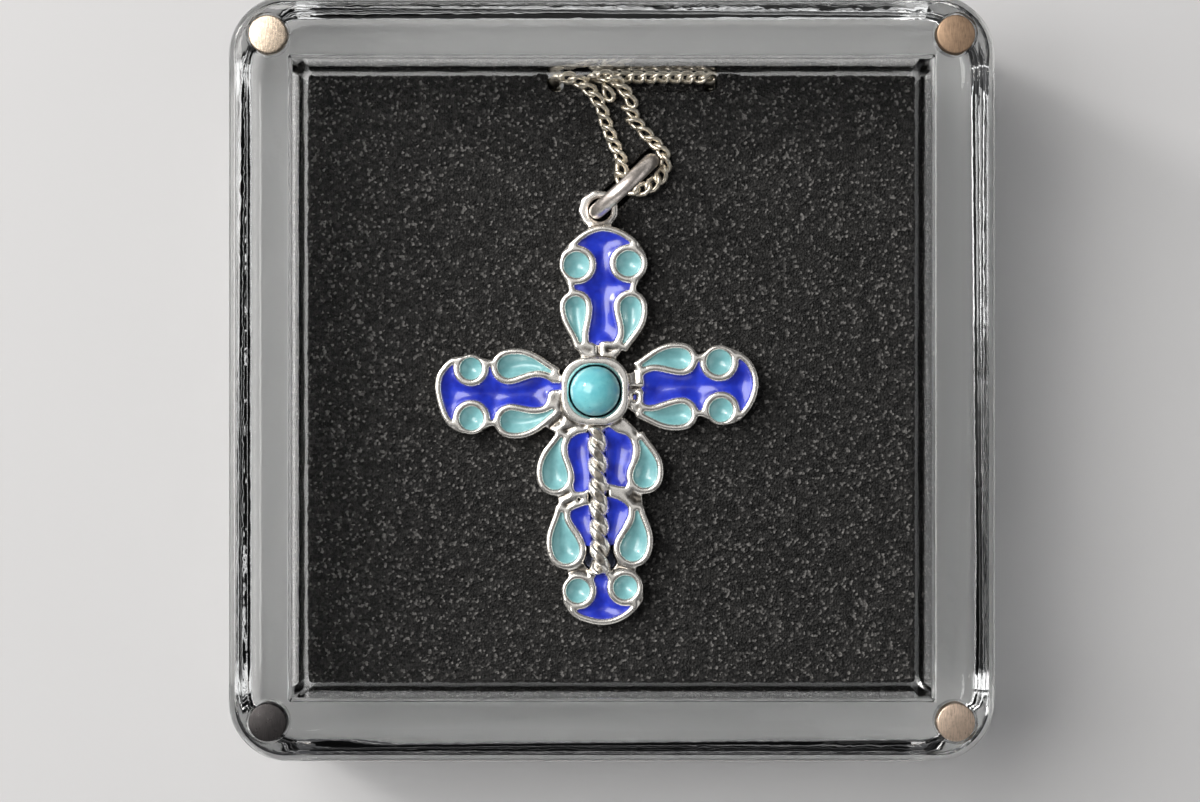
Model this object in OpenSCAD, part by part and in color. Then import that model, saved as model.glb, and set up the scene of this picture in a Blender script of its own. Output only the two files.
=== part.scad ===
// Enamelled cross pendant on a fine chain, lying on black foam in a clear square box base.
// Millimetres. The origin is the middle of the underside, +Z is up, the cross's top is towards +Y.

/* [Box base] */
// Outer width and depth of the clear base
tray_w = 60; // [60:0.5:64]
// Height of the clear base
tray_h = 18; // [17.5:0.5:22]
// Radius of the upright outer corners
tray_corner = 4.7; // [3:0.1:5]
// Width and depth of the square cavity
cavity_w = 50; // [50:0.1:50.6]
// Thickness of the floor under the cavity
floor_t = 2; // [1.5:0.1:3]
// Width and drop of the sloped lip round the cavity
lip = 0.35; // [0.2:0.05:0.5]

/* [Magnets] */
// Diameter of a corner magnet
magnet_d = 3; // [2.6:0.1:3.2]
// Thickness of a corner magnet
magnet_t = 2; // [1:0.1:3]
// Distance of a magnet's middle from both outer sides
magnet_inset = 3.1; // [3:0.1:3.3]
// Clearance of the bore all round the magnet
bore_gap = 0.2; // [0.1:0.05:0.25]

/* [Foam] */
// Thickness of the foam pad
foam_t = 7.5; // [7:0.1:8]
// Clearance between the foam and the cavity wall
foam_gap = 0.3; // [0.2:0.05:0.4]

/* [Cross] */
// Thickness of the base plate
plate_t = 0.5; // [0.4:0.05:0.6]
// Height of the cell wires above the underside
wire_top = 1.5; // [1.3:0.05:1.6]
// Height of the enamel above the underside
enamel_top = 1.15; // [0.9:0.05:1.2]
// Width of a cell wire
wire_w = 0.52; // [0.46:0.01:0.54]
// Clearance between an enamel fill and the metal round it
fit = 0.025; // [0.02:0.005:0.03]
// Diameter of the turquoise ball
stone_d = 4; // [3.8:0.05:4.1]
// Height of the bezel wire above the underside
bezel_top = 1.95; // [1.7:0.05:2.1]

/* [Twisted wire] */
// Diameter of one strand of the twisted wire
strand_d = 0.84; // [0.78:0.02:0.84]
// Length in which a strand makes one full turn
twist_pitch = 3.35; // [3.2:0.05:3.8]

/* [Rings and chain] */
// Outer diameter of the jump ring
jump_od = 7.2; // [7:0.1:7.2]
// Thickness of the jump ring's wire
jump_wire = 1.2; // [1.1:0.05:1.2]
// Outer diameter of the small eye on the cross
eye_od = 2.96; // [2.9:0.02:3]
// Thickness of the eye's wire
eye_wire = 0.46; // [0.4:0.02:0.48]
// Diameter of the chain as a plain tube
chain_d = 0.9; // [0.8:0.02:0.92]

/* [Hidden] */
$fn = 48;
// Small gap between a piece and what it rests on
seat_gap = 0.05;
foam_top = floor_t + seat_gap + foam_t;
cross_at = [-1.32, -0.98, foam_top + seat_gap];

// Round turquoise cells: name, middle x and y, radius, width of metal outside it
ROUNDS = [
  ["top_left", -1.48, 10.17, 1.05, 0.34],
  ["top_right", 2.72, 10.29, 1.03, 0.47],
  ["left_upper", -10.01, 1.81, 0.9, 0.24],
  ["left_lower", -9.97, -2.2, 0.97, 0.32],
  ["right_upper", 10.02, 2.34, 1.03, 0.34],
  ["right_lower", 10.17, -1.53, 0.97, 0.22],
  ["foot_left", -1.37, -16.12, 0.97, 0.32],
  ["foot_right", 2.45, -15.84, 0.97, 0.45],
];
// Drop-shaped turquoise cells: name, head x, y and radius, bend x and y, tip x and y
DROPS = [
  ["top_left", -1.57, 6.8, 0.84, -1.5, 5.3, -1.15, 3.9],
  ["top_right", 2.89, 6.78, 0.87, 3.1, 5.2, 2.25, 3.85],
  ["left_upper", -6.95, 1.97, 0.93, -5.2, 2.5, -3.5, 1.5],
  ["left_lower", -6.75, -2.45, 0.9, -5.0, -2.75, -3.35, -1.5],
  ["right_upper", 6.95, 2.6, 0.83, 5.2, 2.9, 3.8, 2.0],
  ["right_lower", 6.98, -1.85, 0.83, 5.2, -2.2, 3.9, -1.7],
  ["shaft_upper_left", -3.2, -6.95, 1.02, -3.6, -5.2, -2.65, -3.75],
  ["shaft_upper_right", 4.03, -6.85, 0.98, 4.5, -5.4, 3.6, -3.95],
  ["shaft_lower_left", -2.3, -12.85, 1.07, -2.9, -11.2, -2.65, -9.75],
  ["shaft_lower_right", 3.05, -12.7, 1.05, 3.7, -11.2, 3.35, -9.6],
];
// Blue fields, each a loop that runs on under its turquoise neighbours
TOP_FIELD = [
  [-1.45, 11.85], [-0.56, 12.55], [0.53, 12.9], [1.69, 12.68], [2.77, 12.06], [3.4, 11.3],
  [3.7, 10.5], [3.3, 9.5], [2.85, 8.5], [2.8, 6.8], [2.1, 5.3], [1.79, 4.5], [1.5, 4.0],
  [0.96, 4.04], [0.5, 3.98], [0.2, 3.7], [-0.12, 3.86], [-0.5, 3.98], [-0.72, 4.5], [-0.8, 5.3],
  [-1.4, 6.83], [-1.7, 8.5], [-2.1, 9.4], [-2.4, 10.4], [-2.05, 11.2],
];
LEFT_FIELD = [
  [-11.44, 2.2], [-11.95, 1.7], [-12.33, 1.1], [-12.45, 0.2], [-12.2, -1.0], [-11.8, -2.05],
  [-11.1, -2.75], [-10.0, -2.95], [-8.5, -2.35], [-6.75, -2.3], [-5.2, -1.5], [-4.4, -1.35],
  [-3.9, -0.9], [-3.78, -0.24], [-3.38, 0.08], [-2.6, 0.12], [-2.6, 0.64], [-3.5, 0.66],
  [-3.9, 1.08], [-4.6, 1.25], [-5.6, 1.2], [-7.0, 1.9], [-8.35, 2.0], [-10.0, 2.35],
  [-11.0, 2.3],
];
RIGHT_FIELD = [
  [11.6, 2.65], [12.2, 2.15], [12.6, 1.38], [12.74, 0.49], [12.46, -0.6], [11.85, -1.55],
  [11.1, -2.1], [10.2, -2.2], [8.6, -1.53], [7.0, -1.7], [5.4, -1.12], [4.42, -1.25],
  [3.98, -1.09], [3.84, -0.64], [3.94, -0.04], [3.7, 0.22], [3.98, 0.48], [3.87, 1.2],
  [4.06, 1.72], [4.5, 1.9], [5.23, 1.95], [6.9, 2.33], [8.4, 2.45], [10.0, 3.05], [10.9, 3.0],
];
SHAFT_UPPER_FIELD = [
  [-1.73, -3.65], [-1.21, -3.4], [-0.4, -3.3], [0.4, -3.0], [1.13, -2.9], [1.77, -3.35],
  [2.53, -3.55], [2.88, -4.02], [3.05, -4.74], [2.89, -5.71], [2.69, -6.75], [2.5, -7.72],
  [1.13, -7.48], [0.4, -7.76], [-0.56, -7.98], [-1.6, -8.14], [-1.8, -7.3], [-2.05, -5.95],
  [-2.2, -4.74], [-2.13, -3.94],
];
SHAFT_LOWER_FIELD = [
  [-1.53, -9.45], [-0.72, -9.19], [0.4, -8.8], [1.13, -8.55], [1.77, -8.72], [2.45, -9.12],
  [2.75, -9.65], [2.61, -10.21], [2.17, -11.09], [1.77, -11.9], [1.69, -12.38], [0.4, -12.46],
  [-0.96, -12.46], [-1.05, -11.9], [-1.7, -11.09], [-2.15, -10.37], [-2.05, -9.77],
];
FOOT_FIELD = [
  [0.04, -14.87], [0.92, -14.83], [1.25, -15.5], [2.45, -15.6], [3.4, -16.3], [3.2, -17.05],
  [2.3, -17.9], [1.29, -18.33], [0.37, -18.4], [-0.63, -18.18], [-1.45, -17.8], [-2.1, -16.9],
  [-1.9, -15.9], [-0.6, -15.9],
];
// Bare dark pocket at the foot of the twisted wire
BARE_FIELD = [
  [-0.9, -12.3], [1.7, -12.3], [1.9, -13.6], [1.4, -14.5], [0.5, -14.9], [-0.4, -14.6], [-1.1, -13.6],
];
ALL_FIELDS = [
  TOP_FIELD, LEFT_FIELD, RIGHT_FIELD, SHAFT_UPPER_FIELD, SHAFT_LOWER_FIELD, FOOT_FIELD, BARE_FIELD,
];
loop_steps = 2;
drop_steps = 8;
tip_r = 0.14;
// Solder that fills the corners between the arms, the bezel and the sections of the lower arm
WEBS = [
  [[-1.5, 3.6], [2.2, 3.4], [1.4, 2.3], [-0.9, 2.3]],
  [[-3.6, 1.9], [-2.5, 1.1], [-1.9, -2.4], [-2.7, -3.6], [-3.9, -2.9], [-3.7, 0]],
  [[2.3, 1.3], [3.1, 1.5], [3.6, 2.2], [4.2, 0], [3.7, -2.1], [2.4, -1.2]],
  [[-2.6, -3.6], [-1.9, -2.4], [2.4, -2.2], [3.8, -3.6], [0, -4]],
  [[-3.0, -8.2], [-1.5, -8.0], [-1.5, -9.6], [-2.9, -9.3]],
  [[2.4, -7.6], [3.7, -8.2], [3.8, -9.1], [2.4, -9.0]],
  [[-2.2, -14.0], [-0.5, -14.0], [-0.9, -15.2], [-2.1, -15.0]],
  [[1.4, -13.7], [3.2, -13.9], [3.3, -14.9], [1.5, -15.0]],
];
// Metal outside the drops and the fields, and solder fillets in the outline's inner corners
rim_w = 0.45;
fillet = 0.15;
// Outer width and corner radius of the bezel, and the height of the ball's middle
bezel_w = 5.35;
bezel_r = 1.9;
ball_z = 1.9;

function unit(v) = v / norm(v);
function left_of(v) = [-v.y, v.x];

// Closed smooth curve through the points of a loop
function smooth_at(a, b, c, d, s) =
  0.5 * ((2 * b) + (c - a) * s + (2 * a - 5 * b + 4 * c - d) * s * s
    + (3 * b - a - 3 * c + d) * s * s * s);
function smooth_loop(p) = let (n = len(p)) [
  for (i = [0:n - 1]) for (k = [0:loop_steps - 1])
    smooth_at(p[(i + n - 1) % n], p[i], p[(i + 1) % n], p[(i + 2) % n], k / loop_steps)
];

// Outline of a drop: a bent middle line whose width runs out from the head to the tip
function bent(a, b, c, s) = (1 - s) * (1 - s) * a + 2 * s * (1 - s) * b + s * s * c;
function bent_way(a, b, c, s) = unit((1 - s) * (b - a) + s * (c - b));
function drop_r(r, s) = tip_r + (r - tip_r) * (0.5 + 0.5 * cos(180 * pow(s, 1.1)));
function drop_side(a, b, c, r, side) = [
  for (i = [1:drop_steps]) let (s = i / drop_steps)
    bent(a, b, c, s) + side * drop_r(r, s) * left_of(bent_way(a, b, c, s))
];
function drop_outline(a, b, c, r) = let (
  start = bent_way(a, b, c, 0),
  turn = atan2(start.y, start.x),
  left = drop_side(a, b, c, r, 1),
  right = drop_side(a, b, c, r, -1)
) concat(
  [for (k = [0:9]) a + r * [cos(turn + 90 + 20 * k), sin(turn + 90 + 20 * k)]],
  right,
  [for (i = [drop_steps - 1:-1:0]) left[i]]
);

// The twisted wire's axis runs down the lower arm, and the wire rests on the plate
rope_from = [0.16, -2.95];
rope_to = [0.42, -14.7];
strand_sink = 0.01;
rope_r = strand_d - strand_sink;
rope_sink = 0.03;
rope_room = 0.03;
rope_len = norm(rope_to - rope_from);
rope_turn = atan2(rope_to.x - rope_from.x, rope_from.y - rope_to.y);
rope_slices = 36;
// Angle at which the two strands start at the upper end
twist_start = -35;
// A slanting strand is wider by this much when it is cut square across the twisted wire
strand_slant = norm([1, PI * (strand_d - 2 * strand_sink) / twist_pitch]);
// Size of a box that holds one side of the lower arm
shaft_room = [8, 20];
strand_sides = 10;

// The eye lies flat against the top of the top arm, and the jump ring stands through it
eye_at = [0.39, 14.67, 0.75];
eye_r = (eye_od - eye_wire) / 2;
eye_solder = [1.9, 0.56, 0.9];
eye_solder_z = 0.2;
jump_r = (jump_od - jump_wire) / 2;
jump_turn = 42.7;
jump_lean = 4;
jump_lift = 0.8;
jump_back = [0.2, 0.12];
jump_reach = sqrt(jump_r * jump_r - jump_lift * jump_lift);
jump_at = cross_at + eye_at + [-jump_back.x, -jump_back.y, jump_lift]
  + jump_reach * [cos(jump_turn), sin(jump_turn), 0];

// The foam is hollowed from below for the hidden chain, slit for the jump ring, and notched at its
// edge where the chain goes down
foam_w = cavity_w - 2 * foam_gap;
hollow_w = 46;
hollow_from = -21.4;
hollow_to = 22.6;
hollow_h = 1.8;
slit = [7.6, 1.9, 2.5];
notch_from = [-5.8, 23.4];
notch_w = 15.4;
low_notch_from = 21.6;
low_notch_h = 2.6;

// The hidden clasp is a plain ring with an eye at each side
clasp_at = [0, -18.4];
clasp_od = 5;
clasp_wire = 0.9;
clasp_eye_od = 1.7;
clasp_eye_wire = 0.45;
clasp_sink = 0.2;
clasp_eye_x = (clasp_od + clasp_eye_od) / 2 - clasp_sink;

// Points along the chain, from one eye of the clasp round the edge and up to the foam's edge,
// through the jump ring, along the edge and down again, then in even folds back to the clasp
chain_z = foam_top + seat_gap + chain_d / 2;
floor_z = floor_t + 2 * seat_gap + chain_d / 2;
HIDDEN_START = [
  [-4.1, -18.4, floor_z], [-18, -18.4, floor_z], [-20.8, -17.6, floor_z], [-21.6, -15, floor_z],
  [-21.6, 18, floor_z], [-18, 21.2, floor_z], [-7, 21.2, floor_z],
  [-5.2, 22, floor_z + 0.2], [-4.6, 23.8, 3.6], [-4.6, 24.4, 5.2], [-4.6, 24.4, 8],
];
SHOWN = [
  [-4.5, 24.4, 9.2], [-4, 24.4, 9.9], [-3, 24.25, chain_z], [-2.1, 23.7, chain_z],
  [-1.3, 22.8, chain_z], [-0.8, 21.8, chain_z], [-0.5, 20.8, chain_z], [0.1, 19.2, chain_z],
  [0.7, 17.9, chain_z], [0.8, 16.9, chain_z], [0.9, 16, chain_z], [1.6, 15.4, chain_z],
  [2.6, 15.4, chain_z], [3.7, 16.1, chain_z], [4.3, 17.2, chain_z], [4.1, 18.4, chain_z],
  [3.2, 19.4, chain_z], [2.4, 20.3, chain_z], [1.8, 21.4, chain_z], [1.5, 22.6, chain_z],
  [0.8, 23.6, chain_z], [0, 24.3, 10.2], [-0.7, 24.5, 10.5], [-1.3, 24.5, 10.3],
  [-1.5, 24.5, 9.8], [-1.1, 24.5, 9.3], [-0.2, 24.5, 9.2], [6.6, 24.5, 9.2],
  [7.8, 24.5, 8.8], [8.2, 24.5, 7.6],
];
HIDDEN_END = [
  [8.2, 24.5, 5.2], [8.2, 23.8, 3.6], [7.6, 21.6, floor_z + 0.2], [5.5, 18.8, floor_z],
  [3.5, 17.8, floor_z],
];
fold_x = 16.5;
fold_top = 17.8;
fold_step = 4.2;
folds = 7;
// Half turn of one fold, left and right by turns
function fold_turn(i) = let (side = i % 2 == 0 ? -1 : 1, r = fold_step / 2) [
  for (a = [90:-60:-90])
    [side * (fold_x + r * cos(a)), fold_top - i * fold_step - r + r * sin(a), floor_z]
];
HIDDEN_LAST = [
  [17.5, -11.6, floor_z], [20.3, -12.4, floor_z], [21.2, -15, floor_z], [20.3, -17.6, floor_z],
  [17.5, -18.4, floor_z], [4.1, -18.4, floor_z],
];
CHAIN_ROUTE = concat(
  HIDDEN_START, SHOWN, HIDDEN_END, [for (i = [0:folds - 1]) each fold_turn(i)], HIDDEN_LAST
);

// A tube of eight sides along a route, its rings turned as little as the route allows
tube_sides = 8;
function way_at(p, i) = unit(p[min(i + 1, len(p) - 1)] - p[max(i - 1, 0)]);
function ring_ups(p, up, i = 0, done = []) = i == len(p) ? done
  : let (w = way_at(p, i), u = unit(up - (up * w) * w)) ring_ups(p, u, i + 1, concat(done, [u]));
function tube_points(p, r) = let (ups = ring_ups(p, [0, 0, 1])) [
  for (i = [0:len(p) - 1]) let (u = ups[i], v = cross(way_at(p, i), u))
    for (k = [0:tube_sides - 1]) let (a = 360 * k / tube_sides) p[i] + r * (cos(a) * u + sin(a) * v)
];
function tube_faces(rings) = concat(
  [[for (k = [0:tube_sides - 1]) k]],
  [for (i = [0:rings - 2]) for (k = [0:tube_sides - 1]) let (n = (k + 1) % tube_sides) [
    i * tube_sides + k, (i + 1) * tube_sides + k, (i + 1) * tube_sides + n, i * tube_sides + n
  ]],
  [[for (k = [tube_sides - 1:-1:0]) (rings - 1) * tube_sides + k]]
);

module round_cell(c) {
  translate([c[1], c[2]]) circle(r = c[3], $fn = 32);
}

module drop_cell(c) {
  polygon(drop_outline([c[1], c[2]], [c[4], c[5]], [c[6], c[7]], c[3]));
}

module turquoise_cells() {
  for (c = ROUNDS) round_cell(c);
  for (c = DROPS) drop_cell(c);
}

module rope_strip(w) {
  translate(rope_from) rotate(rope_turn) translate([-w / 2, -rope_len]) square([w, rope_len]);
}

module rounded_square(w, r) {
  offset(r = r) square([w - 2 * r, w - 2 * r], center = true);
}

module fields() {
  for (f = ALL_FIELDS) polygon(smooth_loop(f));
}

// Outline of the plate, with solder fillets in its inner corners
module silhouette() {
  offset(r = -fillet, $fn = 12) offset(delta = fillet) {
    for (c = ROUNDS) translate([c[1], c[2]]) circle(r = c[3] + c[4], $fn = 28);
    offset(delta = rim_w) for (c = DROPS) drop_cell(c);
    offset(delta = rim_w) fields();
    rounded_square(bezel_w, bezel_r);
    rope_strip(2 * rope_r + 2 * wire_w);
    for (w = WEBS) polygon(w);
  }
}

// What the wires leave open above the plate
module pockets() {
  offset(delta = 0.001) {
    turquoise_cells();
    difference() {
      fields();
      offset(delta = wire_w) turquoise_cells();
    }
    rope_strip(2 * (rope_r + rope_room));
  }
}

module rope() {
  translate([rope_from.x, rope_from.y, plate_t + rope_r - rope_sink])
    rotate([90, 0, rope_turn])
      linear_extrude(
        height = rope_len, twist = 360 * rope_len / twist_pitch, slices = rope_slices, $fn = strand_sides
      )
        rotate(twist_start) for (side = [-1, 1])
          translate([side * (strand_d / 2 - strand_sink), 0])
            scale([1, strand_slant]) circle(d = strand_d, $fn = strand_sides);
}

module eye() {
  translate(eye_at) rotate_extrude() translate([eye_r, 0]) circle(d = eye_wire, $fn = 24);
  translate([eye_at.x, eye_at.y - eye_od / 2, eye_solder.z / 2 + eye_solder_z])
    cube(eye_solder, center = true);
}

module bezel() {
  linear_extrude(height = bezel_top) difference() {
    rounded_square(bezel_w, bezel_r);
    rounded_square(bezel_w - 2 * wire_w, bezel_r - wire_w);
  }
}

module cross_frame() color("silver") translate(cross_at) {
  difference() {
    linear_extrude(height = wire_top) silhouette();
    translate([0, 0, plate_t]) linear_extrude(height = wire_top) pockets();
    translate([0, 0, plate_t]) linear_extrude(height = wire_top)
      rounded_square(bezel_w - wire_w, bezel_r - wire_w / 2);
  }
  bezel();
  eye();
  rope();
}

// A fill of enamel that stands on the plate
module fill() {
  translate(cross_at + [0, 0, plate_t + fit]) linear_extrude(height = enamel_top - plate_t - fit)
    offset(delta = -fit) children();
}

module enamel_round(c) color("mediumturquoise") fill() round_cell(c);

module enamel_drop(c) color("mediumturquoise") fill() drop_cell(c);

module field_cell(loop) {
  difference() {
    polygon(smooth_loop(loop));
    offset(delta = wire_w) turquoise_cells();
    rounded_square(bezel_w, bezel_r);
  }
}

module enamel_field(loop) color("mediumblue") fill() field_cell(loop);

// One half of a field beside the twisted wire, on the left for side -1
module enamel_half(loop, side) color("mediumblue") fill() intersection() {
  difference() {
    field_cell(loop);
    rope_strip(2 * (rope_r + rope_room));
  }
  translate([rope_from.x + (side - 1) * shaft_room.x / 2, -shaft_room.y]) square(shaft_room);
}

module stone() color("turquoise") translate(cross_at) intersection() {
  translate([0, 0, ball_z]) sphere(d = stone_d);
  translate([-stone_d, -stone_d, plate_t + fit]) cube(2 * stone_d);
}

module jump_ring() color("silver") translate(jump_at) rotate([90 + jump_lean, 0, jump_turn])
  rotate_extrude() translate([jump_r, 0]) circle(d = jump_wire);

module chain() color("silver")
  polyhedron(points = tube_points(CHAIN_ROUTE, chain_d / 2), faces = tube_faces(len(CHAIN_ROUTE)));

module clasp() color("silver") translate([clasp_at.x, clasp_at.y, floor_z]) {
  rotate_extrude() translate([(clasp_od - clasp_wire) / 2, 0]) circle(d = clasp_wire);
  for (s = [-1, 1]) translate([s * clasp_eye_x, 0, 0])
    rotate_extrude() translate([(clasp_eye_od - clasp_eye_wire) / 2, 0]) circle(d = clasp_eye_wire);
}

// Corners of the rim by number: 1 back left, 2 back right, 3 front left, 4 front right
module at_corner(n) {
  out = tray_w / 2 - magnet_inset;
  translate([n % 2 == 1 ? -out : out, n < 3 ? out : -out, 0]) children();
}

module tray() color("white", 0.35) difference() {
  linear_extrude(height = tray_h) rounded_square(tray_w, tray_corner);
  translate([-cavity_w / 2, -cavity_w / 2, floor_t]) cube([cavity_w, cavity_w, tray_h]);
  translate([0, 0, tray_h - lip]) linear_extrude(height = lip, scale = (cavity_w + 2 * lip) / cavity_w)
    square(cavity_w, center = true);
  for (n = [1:4]) at_corner(n) translate([0, 0, tray_h - magnet_t - fit])
    cylinder(d = magnet_d + 2 * bore_gap, h = magnet_t + 1);
}

module magnet(n) color("darkgray") at_corner(n) translate([0, 0, tray_h - magnet_t])
  cylinder(d = magnet_d, h = magnet_t);

module foam_pad() color("dimgray") difference() {
  translate([-foam_w / 2, -foam_w / 2, floor_t + seat_gap]) cube([foam_w, foam_w, foam_t]);
  translate([-hollow_w / 2, hollow_from, 0])
    cube([hollow_w, hollow_to - hollow_from, floor_t + hollow_h]);
  translate([notch_from.x, notch_from.y, 0]) cube([notch_w, foam_w, tray_h]);
  translate([notch_from.x, low_notch_from, 0]) cube([notch_w, foam_w, floor_t + low_notch_h]);
  translate([jump_at.x, jump_at.y, foam_top]) rotate(jump_turn)
    cube([slit.x, slit.y, 2 * slit.z], center = true);
}

tray();
foam_pad();
for (n = [1:4]) magnet(n);
cross_frame();
stone();
jump_ring();
chain();
clasp();
for (c = ROUNDS) enamel_round(c);
for (c = DROPS) enamel_drop(c);
enamel_field(TOP_FIELD);  // enamel_field_top
enamel_field(LEFT_FIELD);  // enamel_field_left
enamel_field(RIGHT_FIELD);  // enamel_field_right
enamel_field(FOOT_FIELD);  // enamel_field_foot
enamel_half(SHAFT_UPPER_FIELD, -1);  // enamel_field_shaft_upper_left
enamel_half(SHAFT_UPPER_FIELD, 1);  // enamel_field_shaft_upper_right
enamel_half(SHAFT_LOWER_FIELD, -1);  // enamel_field_shaft_lower_left
enamel_half(SHAFT_LOWER_FIELD, 1);  // enamel_field_shaft_lower_right
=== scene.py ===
# %% [markdown]
# # An enamelled silver cross on a fine chain, lying in a clear box
# The real thing is a small pendant: wires of silver are soldered upright on a silver plate, and the
# cells between them are filled with blue and turquoise glass. This lesson dresses the measured parts.
# Each piece is modelled in millimetres, because many of Blender's tools have limits that suit big
# things, and is scaled down to metres when it is done.

# %% Load the measured parts
import math
import random

import bpy
from mathutils import Euler, Matrix, Vector, kdtree
from mathutils.noise import noise as noise_at


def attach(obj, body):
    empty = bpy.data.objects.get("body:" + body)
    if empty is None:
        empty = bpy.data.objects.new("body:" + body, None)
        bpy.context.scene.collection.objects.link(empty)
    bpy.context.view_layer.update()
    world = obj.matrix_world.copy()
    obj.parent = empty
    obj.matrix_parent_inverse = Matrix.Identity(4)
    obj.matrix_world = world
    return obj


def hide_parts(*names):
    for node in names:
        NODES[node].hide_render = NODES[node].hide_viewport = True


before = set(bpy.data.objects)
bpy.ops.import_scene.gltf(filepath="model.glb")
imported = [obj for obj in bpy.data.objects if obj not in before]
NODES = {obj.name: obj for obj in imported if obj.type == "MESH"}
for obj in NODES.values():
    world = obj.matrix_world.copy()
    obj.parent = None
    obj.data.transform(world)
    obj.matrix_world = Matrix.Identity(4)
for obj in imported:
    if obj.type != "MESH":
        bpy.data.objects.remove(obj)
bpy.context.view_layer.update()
MM = 0.001
print("measured parts:", len(NODES))

# %% [markdown]
# The camera comes first. It looks straight down from about 23 cm, so the tall walls of the box lean
# outwards a little, as they do in any close picture.

# %% Camera
CAMERA_AT = (-0.92, -1.78, 232.8)
bpy.ops.object.camera_add(location=Vector(CAMERA_AT) * MM, rotation=(0, 0, 0))
camera = bpy.context.object
camera.data.sensor_width = 36
camera.data.lens = 82.5
camera.data.clip_start = 0.01
bpy.context.scene.camera = camera
print("camera height, mm:", CAMERA_AT[2])

# %% [markdown]
# Helpers that every step uses. An operator acts on all that is selected, so each of them first
# selects one piece alone.

# %% Helpers for shaping
def only(obj):
    """Selects one object alone and makes it the active one."""
    bpy.ops.object.select_all(action="DESELECT")
    obj.select_set(True)
    bpy.context.view_layer.objects.active = obj


def modify(obj, kind, **settings):
    """Adds a modifier and applies it at once."""
    only(obj)
    modifier = obj.modifiers.new(kind.title(), kind)
    for name, value in settings.items():
        setattr(modifier, name, value)
    bpy.ops.object.modifier_apply(modifier=modifier.name)


def edit(obj, choose=None):
    """Opens a mesh for editing, with the faces selected whose middle and normal suit choose."""
    only(obj)
    for polygon in obj.data.polygons:
        polygon.select = choose is None or choose(polygon.center, polygon.normal)
    for edge in obj.data.edges:
        edge.select = False
    for vertex in obj.data.vertices:
        vertex.select = False
    bpy.ops.object.mode_set(mode="EDIT")
    bpy.ops.mesh.select_mode(type="FACE")


def close_edit():
    bpy.ops.object.mode_set(mode="OBJECT")


def select_vertices(obj, choose):
    """Opens a mesh for editing, with the vertices selected whose place suits choose."""
    only(obj)
    bpy.ops.object.mode_set(mode="EDIT")
    bpy.ops.mesh.select_mode(type="VERT")
    bpy.ops.mesh.select_all(action="DESELECT")
    bpy.ops.object.mode_set(mode="OBJECT")
    for vertex in obj.data.vertices:
        vertex.select = choose(vertex.co)
    bpy.ops.object.mode_set(mode="EDIT")


# Smoothing spreads with the root of its steps: this many reach as far as one square of the skin
STEPS_PER_SQUARE = 4
# Points of a measured part that lie closer than this, in millimetres, are one point
SAME_POINT = 0.001


def ease(obj, choose, length, square):
    """Smooths the chosen points over about a length, on a skin of squares of one size."""
    steps = max(1, round(STEPS_PER_SQUARE * (length / square) ** 2))
    select_vertices(obj, choose)
    bpy.ops.mesh.vertices_smooth(factor=0.5, repeat=steps)
    close_edit()


def measured_copy(part, name):
    """A merged copy of a measured part, in millimetres."""
    mesh = NODES[part].data.copy()
    mesh.transform(Matrix.Scale(1 / MM, 4))
    obj = bpy.data.objects.new(name, mesh)
    bpy.context.collection.objects.link(obj)
    edit(obj)
    bpy.ops.mesh.remove_doubles(threshold=SAME_POINT)
    close_edit()
    return obj


def join(target, others):
    only(target)
    for other in others:
        other.select_set(True)
    bpy.ops.object.join()


def place(obj):
    """Applies a new primitive's place, turn and size to its mesh."""
    only(obj)
    bpy.ops.object.transform_apply()
    return obj


def hand_over(obj, name, material, slot, *nodes):
    """Scales a finished piece to metres, gives it its finish and lets it stand for its parts."""
    only(obj)
    bpy.ops.object.transform_apply()
    obj.data.transform(Matrix.Scale(MM, 4))
    obj.name = name
    obj.data.materials.clear()
    obj.data.materials.append(material)
    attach(obj, "root")
    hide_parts(*nodes)
    print(name, "faces:", len(obj.data.polygons))
    return obj


# %% [markdown]
# Each finish is a Principled shader. Patterns read the object's own coordinates, turned into
# millimetres by a Mapping node, so a scale of 4 means four grains to a millimetre.

# %% Helpers for finishes
def new_material(name):
    material = bpy.data.materials.new(name)
    material.use_nodes = True
    tree = material.node_tree
    shader = tree.nodes["Principled BSDF"]
    return material, tree, shader


def set_shader(shader, **values):
    for name, value in values.items():
        shader.inputs[name.replace("_", " ")].default_value = value


def node(tree, kind, **settings):
    made = tree.nodes.new("ShaderNode" + kind)
    for name, value in settings.items():
        setattr(made, name, value)
    return made


def millimetres(tree, stretch=(1, 1, 1), turn=0):
    """Object coordinates in millimetres, stretched and turned about Z."""
    source = node(tree, "TexCoord")
    mapping = node(tree, "Mapping")
    mapping.inputs["Scale"].default_value = [s / MM for s in stretch]
    mapping.inputs["Rotation"].default_value[2] = turn
    tree.links.new(source.outputs["Object"], mapping.inputs["Vector"])
    return mapping.outputs["Vector"]


def noise(tree, vector, scale, detail=2.0, roughness=0.5, distortion=0.0):
    made = node(tree, "TexNoise")
    made.inputs["Scale"].default_value = scale
    made.inputs["Detail"].default_value = detail
    made.inputs["Roughness"].default_value = roughness
    made.inputs["Distortion"].default_value = distortion
    tree.links.new(vector, made.inputs["Vector"])
    return made.outputs["Fac"]


def spread(tree, value, low, high, to_low=0.0, to_high=1.0):
    """Maps a value from one range to another, and clamps it."""
    made = node(tree, "MapRange")
    for name, number in zip(("From Min", "From Max", "To Min", "To Max"), (low, high, to_low, to_high)):
        made.inputs[name].default_value = number
    tree.links.new(value, made.inputs["Value"])
    return made.outputs["Result"]


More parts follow.
